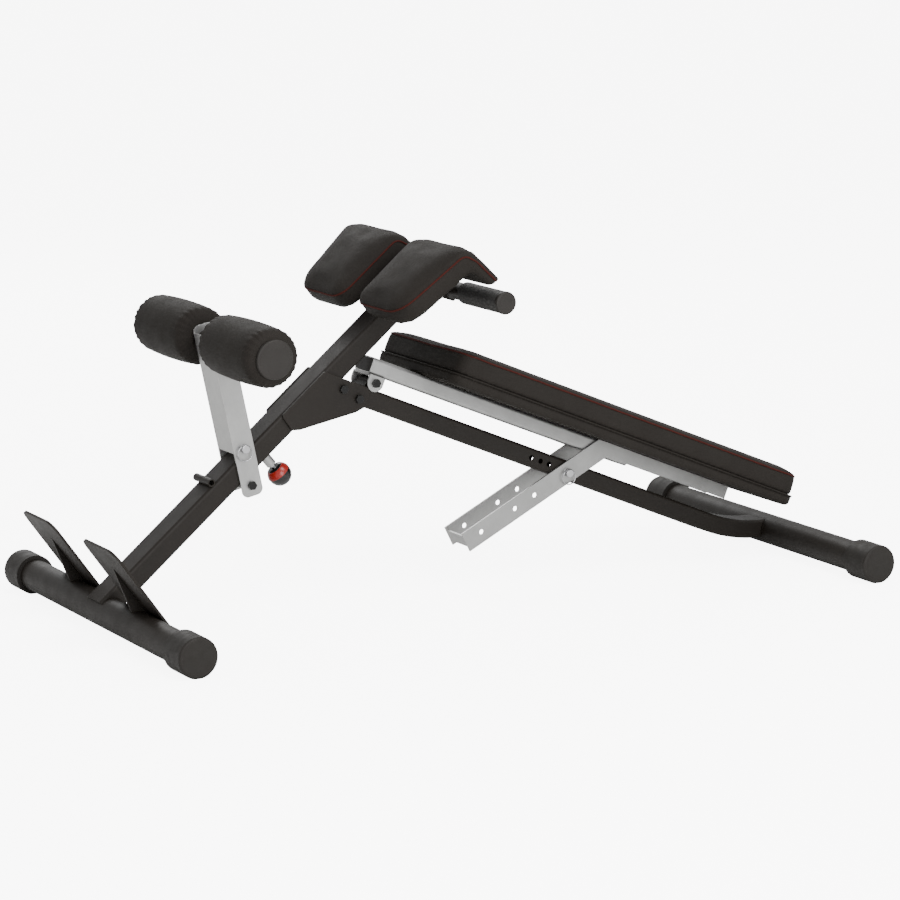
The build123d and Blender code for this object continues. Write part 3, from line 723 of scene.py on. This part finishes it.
def inflate(nodes, name, settings, held, material, shape=None):
    # A stuffed form: remeshed, drawn in, then swollen by a short cloth simulation
    piece = newPiece(name, bareMesh(nodes, name), material)
    remesh = piece.modifiers.new("Remesh", "REMESH")
    remesh.mode = "VOXEL"
    remesh.voxel_size = settings["voxel"]
    remesh.use_smooth_shade = True
    applyModifiers(piece)
    mesh = piece.data
    weights = [held(v.co) for v in mesh.vertices]
    if shape is not None:
        shape(mesh)
    normals = [v.normal.copy() for v in mesh.vertices]
    for vertex, weight, normal in zip(mesh.vertices, weights, normals):
        vertex.co -= normal * settings["inset"] * (1 - weight)
    mesh.update()
    before = [v.co.copy() for v in mesh.vertices]
    group = piece.vertex_groups.new(name="held")
    for index, weight in enumerate(weights):
        group.add([index], weight, "REPLACE")
    cloth = piece.modifiers.new("Cloth", "CLOTH")
    cloth.settings.quality = stuffing["quality"]
    cloth.settings.mass = stuffing["mass"]
    cloth.settings.tension_stiffness = stuffing["stretch"]
    cloth.settings.compression_stiffness = stuffing["stretch"]
    cloth.settings.shear_stiffness = stuffing["shear"]
    cloth.settings.bending_stiffness = stuffing["bending"]
    cloth.settings.use_pressure = True
    cloth.settings.uniform_pressure_force = settings["pressure"]
    cloth.settings.effector_weights.gravity = 0
    cloth.settings.vertex_group_mass = "held"
    cloth.point_cache.frame_start = 1
    cloth.point_cache.frame_end = stuffing["frames"]
    for step in range(1, stuffing["frames"] + 1):
        scene.frame_set(step)
    applyModifiers(piece)
    scene.frame_set(1)
    mesh = piece.data
    moves = [vertex.co - old for vertex, old in zip(mesh.vertices, before)]
    for index, (move, normal) in enumerate(zip(moves, normals)):
        move -= normal * min(0.0, move.dot(normal)) * settings["fullness"]
        if move.length > settings["cap"]:
            moves[index] = move.normalized() * settings["cap"]
    moves = evenOut(mesh, moves, settings["calm"])
    for vertex, old, move in zip(mesh.vertices, before, moves):
        vertex.co = old + move
    smooth = piece.modifiers.new("Smooth", "SMOOTH")
    smooth.factor = 0.5
    smooth.iterations = settings["smooth"]
    subdivide = piece.modifiers.new("Subdivision", "SUBSURF")
    subdivide.levels = 1
    subdivide.render_levels = 1
    applyModifiers(piece)
    piece.vertex_groups.clear()
    for face in piece.data.polygons:
        face.use_smooth = True
    piece.data.materials.clear()
    piece.data.materials.append(material)
    print("inflated", name, len(piece.data.polygons))
    return piece


seamPucker = {"depth": 0.0012, "reach": 0.009, "steady": 0.75, "uneven": 0.5, "fineness": 90}


def sinkSeam(piece, path):
    # Draws the surface in along a seam, so that the cover puckers towards it
    s = seamPucker
    tree = KDTree(len(path))
    for index, point in enumerate(path):
        tree.insert(point, index)
    tree.balance()
    mesh = piece.data
    normals = [v.normal.copy() for v in mesh.vertices]
    for vertex, normal in zip(mesh.vertices, normals):
        point, index, distance = tree.find(vertex.co)
        if distance < s["reach"]:
            share = (1 - distance / s["reach"]) ** 2
            pucker = s["steady"] + s["uneven"] * noise(vertex.co * s["fineness"])
            vertex.co -= normal * s["depth"] * share * pucker
    mesh.update()


seamStep = 0.003


def onSurface(piece, path, lift):
    surface = surfaceOf(piece.data)
    placed = []
    for point in path:
        hit, normal, index, distance = surface.find_nearest(point)
        placed.append(hit + normal * lift)
    return placed


def evenPath(points, step, closed):
    # The same line with points a fixed step apart
    if closed:
        points = points + [points[0]]
    result = []
    for a, b in zip(points, points[1:]):
        count = max(1, round((b - a).length / step))
        result += [a.lerp(b, i / count) for i in range(count)]
    if not closed:
        result.append(points[-1])
    return result


def smoothPath(points, closed, rounds=3):
    for _ in range(rounds):
        last = len(points) - 1
        points = [
            p.copy()
            if not closed and i in (0, last)
            else (points[i - 1] + 2 * p + points[(i + 1) % (last + 1)]) / 4
            for i, p in enumerate(points)
        ]
    return points


def corner(centre, radius, start, end, place, height, count=8):
    points = []
    for i in range(count + 1):
        angle = math.radians(start + (end - start) * i / count)
        local = Vector(
            (centre[0] + radius * math.cos(angle), centre[1] + radius * math.sin(angle), height)
        )
        points.append(place @ local)
    return points


def rectanglePath(low, high, radius, inset, height, place):
    # A rounded rectangle seen from above in a local frame
    x0, x1 = low.x + inset, high.x - inset
    y0, y1 = low.y + inset, high.y - inset
    points = corner((x1 - radius, y1 - radius), radius, 0, 90, place, height)
    points += corner((x0 + radius, y1 - radius), radius, 90, 180, place, height)
    points += corner((x0 + radius, y0 + radius), radius, 180, 270, place, height)
    points += corner((x1 - radius, y0 + radius), radius, 270, 360, place, height)
    return evenPath(points, seamStep, True)


def addPiping(piece, name, path, closed, body, radius):
    placed = smoothPath(onSurface(piece, path, radius * 0.35), closed)
    cord = alongPath(
        name,
        placed,
        closed,
        cordTree,
        cordSockets,
        {"Radius": radius, "Spacing": seamStep},
        pipingMaterial,
    )
    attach(cord, body)
    return cord


stitching = {"Pitch": 0.0045, "Length": 0.0032, "Radius": 0.00038, "Seed": 4}


def addStitches(piece, name, path, closed, body):
    placed = smoothPath(onSurface(piece, path, 0.0001), closed)
    thread = alongPath(
        name,
        placed,
        closed,
        stitchTree,
        stitchSockets,
        stitching,
        stitchMaterial,
    )
    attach(thread, body)
    return thread


# Back pad: one long crowned cushion on a covered board, piped round its top edge

backPad = {
    "voxel": 0.005,
    "inset": 0.0003,
    "pressure": 4.0,
    "cap": 0.0045,
    "fullness": 0.9,
    "calm": 10,
    "smooth": 1,
    "pipingRadius": 0.0015,
    "rise": 0.004,
    "reach": 0.022,
    "cornerRadius": 0.022,
    "stitchInset": 0.01,
    "fill": 0.85,
}
low, high = localBox("back_pad", restFrame)
intoRest = restFrame.inverted()


def heldBackPad(co):
    return 1.0 if (intoRest @ co).z < low.z + 0.004 else 0.0


seam = rectanglePath(low, high, backPad["cornerRadius"], 0, high.z - backPad["rise"], restFrame)


def shapeBackPad(mesh):
    roundShoulder(mesh, seam, [restUp] * len(seam), backPad["rise"], backPad["reach"])


pad = inflate(
    ["back_pad"], "back_cushion", backPad, heldBackPad, materials["charcoal_vinyl"], shapeBackPad
)
sinkSeam(pad, seam)
addPiping(
    pad, "back_cushion_piping", seam, True, "back_rest", backPad["pipingRadius"]
)
sewn = rectanglePath(
    low, high, backPad["cornerRadius"] - 0.006, backPad["stitchInset"], high.z, restFrame
)
addStitches(pad, "back_cushion_stitches", sewn, True, "back_rest")
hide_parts("back_pad")
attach(pad, "back_rest")

# Its board, wrapped in the same vinyl, a little proud of the cushion at its edge

backBoard = {
    "voxel": 0.0055,
    "inset": 0.0005,
    "pressure": 1.5,
    "cap": 0.002,
    "fullness": 0.9,
    "calm": 3,
    "smooth": 2,
    "beadRadius": 0.0014,
    "beadCorner": 0.024,
    "beadInset": 0.0006,
    "beadDrop": 0.001,
    "fill": 0.95,
}
boardLow, boardHigh = localBox("back_board", restFrame)


def heldBackBoard(co):
    z = (intoRest @ co).z
    return 1.0 if z < boardLow.z + 0.006 or z > boardHigh.z - 0.004 else 0.0


board = inflate(
    ["back_board"], "back_board_cover", backBoard, heldBackBoard, materials["charcoal_vinyl"]
)
lip = rectanglePath(
    boardLow,
    boardHigh,
    backBoard["beadCorner"],
    backBoard["beadInset"],
    boardHigh.z - backBoard["beadDrop"],
    restFrame,
)
bead = alongPath(
    "back_board_bead",
    smoothPath(lip, True),
    True,
    cordTree,
    cordSockets,
    {"Radius": backBoard["beadRadius"], "Spacing": 0.004},
    materials["charcoal_vinyl"],
)
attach(bead, "back_rest")
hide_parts("back_board")
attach(board, "back_rest")
print("back rest done")

# Hip pads: two thick cushions that fold over the front of their boards

hipPad = {
    "voxel": 0.0045,
    "inset": 0.0003,
    "pressure": 5.0,
    "cap": 0.007,
    "fullness": 0.95,
    "calm": 12,
    "smooth": 2,
    "pipingRadius": 0.0015,
    "rise": 0.011,
    "reach": 0.028,
    "ridgeRound": 0.026,
    "frontLean": 0.009,
    "spread": 0.152,
    "innerCorner": 0.028,
    "outerCorner": 0.042,
    "fill": 0.85,
}


def hipSeam(node, side):
    # From the front tip over the ridge, round the low end and back to the tip,
    # with the way that the cushion's top faces at each point
    s = hipPad
    points = localPoints(node, postFrame)
    lowS = min(p.x for p in points)
    highS = max(p.x for p in points)
    topU = max(p.z for p in points)
    lowU = min(p.z for p in points)
    inner = min(abs(p.y) for p in points)
    farEnd = max(abs(p.y) for p in points)
    r = s["ridgeRound"]
    rise = s["rise"]
    centreS = highS - s["frontLean"] - r
    centreU = topU - r

    def outerAt(along):
        return farEnd - s["spread"] * (highS - along)

    front = highS - s["frontLean"] - rise
    fold = [(highS - rise, lowU + 0.001), (front + 0.003, centreU - 0.004)]
    for i in range(6):
        angle = math.radians(i * 90 / 5)
        fold.append(
            (centreS + (r - rise) * math.cos(angle), centreU + (r - rise) * math.sin(angle))
        )
    level = topU - rise
    line = [Vector((along, inner, up)) for along, up in fold]
    c = s["innerCorner"]
    for i in range(9):
        angle = math.radians(270 - i * 90 / 8)
        line.append(
            Vector((lowS + c + c * math.cos(angle), inner + c + c * math.sin(angle), level))
        )
    c = s["outerCorner"]
    outer = outerAt(lowS + c / 2)
    for i in range(9):
        angle = math.radians(180 - i * 82 / 8)
        line.append(
            Vector((lowS + c + c * math.cos(angle), outer - c + c * math.sin(angle), level))
        )
    line += [Vector((along, outerAt(along), up)) for along, up in reversed(fold)]
    line = evenPath(line, seamStep, False)
    ups = []
    for point in line:
        if point.x < centreS:
            up = slideUp
        elif point.z < centreU:
            up = slideAxis
        else:
            turn = Vector((point.x - centreS, 0, point.z - centreU)).normalized()
            up = slideAxis * turn.x + slideUp * turn.z
        ups.append(up)
    return [postFrame @ Vector((p.x, side * p.y, p.z)) for p in line], ups


for label, side in (("left", 1), ("right", -1)):
    nodes = ["hip_pad_" + label, "hip_board_" + label]
    boardSurface = surfaceOf(frame["nodes"][nodes[1]].data)
    seam, ups = hipSeam(nodes[0], side)

    def heldHipPad(co):
        return 1.0 if boardSurface.find_nearest(co)[3] < 0.003 else 0.0

    def shapeHipPad(mesh):
        roundShoulder(mesh, seam, ups, hipPad["rise"], hipPad["reach"])

    pad = inflate(
        nodes, "hip_cushion_" + label, hipPad, heldHipPad, materials["charcoal_vinyl"], shapeHipPad
    )
    sinkSeam(pad, seam)
    addPiping(
        pad,
        "hip_cushion_piping_" + label,
        seam,
        False,
        "hip_carriage",
        hipPad["pipingRadius"],
    )
    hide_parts(*nodes)
    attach(pad, "hip_carriage")
print("hip pads done")

# Plunger spring: a wire coil made from the spring part and attached to the frame

coil = newPiece(
    "plunger_coil", bareMesh(["plunger_spring"], "plunger_coil"), materials["pin_steel"]
)
coilFoot = min((v.co for v in coil.data.vertices), key=lambda point: point.dot(slideUp)).copy()
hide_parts("plunger_spring")
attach(coil, "frame")
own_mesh(coil)

# Foam rollers: vinyl drawn over foam and gathered round the end discs

foamRoller = {
    "voxel": 0.0045,
    "inset": 0.0015,
    "pressure": 3.0,
    "cap": 0.004,
    "fullness": 0.9,
    "calm": 1,
    "smooth": 1,
    "pleats": 26,
    "pleatDepth": 0.0018,
    "pleatReach": 0.03,
    "fill": 0.9,
}
rollerAxis = Vector(joints["left_roller_spin"]["pos_m"])


def gather(piece, ends):
    # Small folds that fade out along the roller, deepest at each end's disc
    s = foamRoller
    mesh = piece.data
    for vertex in mesh.vertices:
        x = vertex.co.x - rollerAxis.x
        z = vertex.co.z - rollerAxis.z
        radius = math.hypot(x, z)
        if radius < 0.024:
            continue
        angle = math.atan2(z, x)
        toEnd = min(abs(abs(vertex.co.y) - end) for end in ends)
        along = max(0.0, 1 - toEnd / s["pleatReach"])
        wander = noise(Vector((math.cos(angle) * 2, math.sin(angle) * 2, ends[0] * 40)))
        depth = s["pleatDepth"] * along**1.5 * (0.7 + 0.6 * wander)
        fold = math.cos(s["pleats"] * angle + 3 * wander)
        vertex.co.x += x / radius * depth * (fold - 1)
        vertex.co.z += z / radius * depth * (fold - 1)
    mesh.update()


for label in ("left", "right"):
    node = "foam_roller_" + label
    low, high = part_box(node)
    ends = (min(abs(low.y), abs(high.y)), max(abs(low.y), abs(high.y)))

    def heldRoller(co):
        radius = math.hypot(co.x - rollerAxis.x, co.z - rollerAxis.z)
        return 1.0 if radius < 0.03 else 0.0

    roller = inflate(
        [node], "roller_cushion_" + label, foamRoller, heldRoller, materials["charcoal_vinyl"]
    )
    gather(roller, ends)
    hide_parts(node)
    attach(roller, "roller_" + label)
print("rollers done")


# Floor, light, camera


studio = {
    "floorColour": "f4f4f3",
    "floorLighter": "f7f7f6",
    "floorReach": 36.0,
    "worldColour": "ffffff",
    "worldStrength": 1.15,
    "backdrop": 12.0,
    "floorGlow": 7.0,
    "key": 110,
    "fill": 150,
    "rim": 60,
}


def makeFloor():
    # Pale matt floor that fades into the backdrop
    material, tree, coords = startMaterial("studio_floor")
    tone = addNode(tree, "ShaderNodeTexNoise", {"Vector": coords} | clouds(900))
    seenDirectly = addNode(tree, "ShaderNodeLightPath").outputs["Is Camera Ray"]
    glow = addNode(
        tree,
        "ShaderNodeMapRange",
        {
            "Value": seenDirectly,
            "From Min": 0.0,
            "From Max": 1.0,
            "To Min": 0.0,
            "To Max": studio["floorGlow"],
        },
    )
    finishMaterial(
        material,
        {
            "Base Color": addNode(
                tree,
                "ShaderNodeMix",
                {0: tone} | tones(studio["floorColour"], studio["floorLighter"]),
                data_type="RGBA",
            ).outputs[2],
            "Roughness": 0.9,
            "Emission Color": linearColour(studio["worldColour"]),
            "Emission Strength": glow,
        },
    )
    mesh = bpy.data.meshes.new("studio_floor")
    reach = studio["floorReach"]
    corners = [(-reach, -reach, 0), (reach, -reach, 0), (reach, reach, 0), (-reach, reach, 0)]
    mesh.from_pydata(corners, [], [(0, 1, 2, 3)])
    floor = newPiece("studio_floor", mesh, material)


def makeLight(name, place, target, size, power):
    data = bpy.data.lights.new(name, "AREA")
    data.shape = "DISK"
    data.size = size
    data.energy = power
    lamp = bpy.data.objects.new(name, data)
    lamp.location = place
    lamp.rotation_euler = (Vector(target) - Vector(place)).to_track_quat("-Z", "Y").to_euler()
    scene.collection.objects.link(lamp)


makeFloor()
world = bpy.data.worlds.new("studio")
world.use_nodes = True
background = world.node_tree.nodes["Background"]
background.inputs["Color"].default_value = linearColour(studio["worldColour"])
seenDirectly = addNode(world.node_tree, "ShaderNodeLightPath").outputs["Is Camera Ray"]
strength = addNode(
    world.node_tree,
    "ShaderNodeMapRange",
    {
        "Value": seenDirectly,
        "From Min": 0.0,
        "From Max": 1.0,
        "To Min": studio["worldStrength"],
        "To Max": studio["backdrop"],
    },
)
world.node_tree.links.new(strength.outputs[0], background.inputs["Strength"])
scene.world = world
makeLight("key_light", (0.4, -2.2, 3.6), (0, 0, 0.3), 2.2, studio["key"])
makeLight("fill_light", (-0.6, -4.4, 1.5), (0.1, 0, 0.3), 2.6, studio["fill"])
makeLight("rim_light", (0.6, 3.2, 2.6), (0, 0, 0.3), 2.0, studio["rim"])

cameraView = {
    "place": (-2.6131, -4.6150, 1.2641),
    "turn": (78.90, -0.08, -29.606),
    "lens": 135.45,
}
cameraData = bpy.data.cameras.new("camera")
cameraData.lens = cameraView["lens"]
cameraData.sensor_width = 36
cameraData.clip_end = 60
camera = bpy.data.objects.new("camera", cameraData)
camera.location = cameraView["place"]
camera.rotation_euler = [math.radians(a) for a in cameraView["turn"]]
scene.collection.objects.link(camera)
scene.camera = camera
print("studio done")
